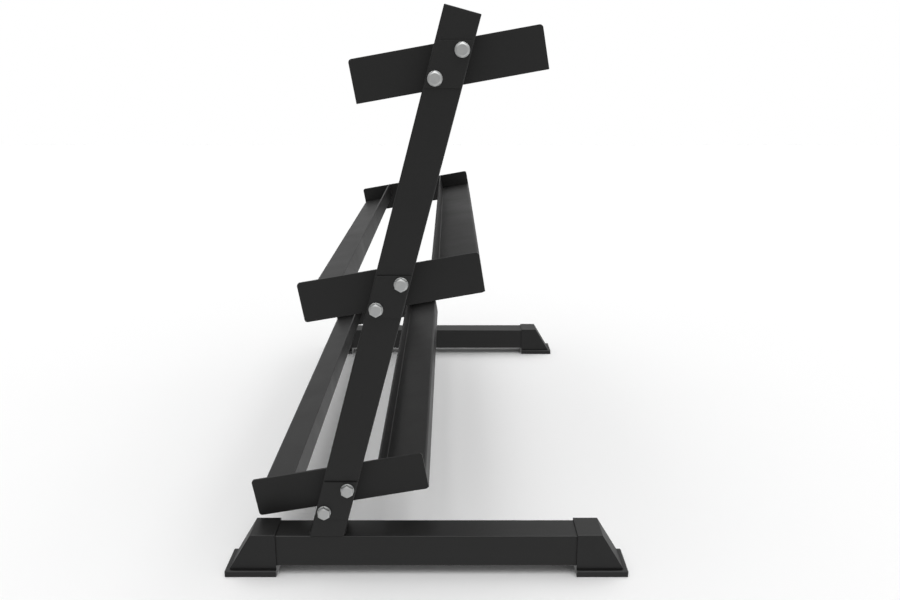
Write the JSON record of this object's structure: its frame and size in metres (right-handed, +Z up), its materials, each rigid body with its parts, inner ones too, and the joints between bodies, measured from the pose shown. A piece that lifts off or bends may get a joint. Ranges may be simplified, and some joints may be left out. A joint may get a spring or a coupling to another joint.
{
  "type": "dumbbell rack",
  "caption": "Free-standing tiered dumbbell rack: tilted pairs of folded steel rails bolted to leaning square-tube uprights on foot tubes with rubber boots.",
  "frame": {"origin": "on the floor under the middle of the rack", "axes": "+X to the right along the shelves, -Y to the front where the user stands, +Z up"},
  "size_m": [1.1348, 0.61, 0.8227],
  "materials": {
    "black_steel": "satin black powder coat",
    "black_rubber": "moulded, slightly sheened",
    "black_plastic": "moulded, fine matte",
    "zinc_steel": "bright zinc plate",
    "nylon": "natural nylon"
  },
  "bodies": {
    "root": {"foot_tube_left": "black_steel", "upright_left": "black_steel", "upright_plug_left": "black_plastic", "rubber_boot_front_left": "black_rubber", "rubber_boot_rear_left": "black_rubber", "joint_plate_bottom_left": "black_steel", "shelf_end_plate_bottom_left": "black_steel", "joint_plate_middle_left": "black_steel", "shelf_end_plate_middle_left": "black_steel", "joint_plate_top_left": "black_steel", "shelf_end_plate_top_left": "black_steel", "foot_tube_right": "black_steel", "upright_right": "black_steel", "upright_plug_right": "black_plastic", "rubber_boot_front_right": "black_rubber", "rubber_boot_rear_right": "black_rubber", "joint_plate_bottom_right": "black_steel", "shelf_end_plate_bottom_right": "black_steel", "joint_plate_middle_right": "black_steel", "shelf_end_plate_middle_right": "black_steel", "joint_plate_top_right": "black_steel", "shelf_end_plate_top_right": "black_steel", "shelf_rail_bottom_front": "black_steel", "shelf_rail_bottom_rear": "black_steel", "shelf_rail_middle_front": "black_steel", "shelf_rail_middle_rear": "black_steel", "shelf_rail_top_front": "black_steel", "shelf_rail_top_rear": "black_steel", "head_washers": "zinc_steel", "hex_bolts": "zinc_steel", "nut_washers": "zinc_steel", "lock_nuts": "zinc_steel", "nut_inserts": "nylon"}
  },
  "joints": []
}
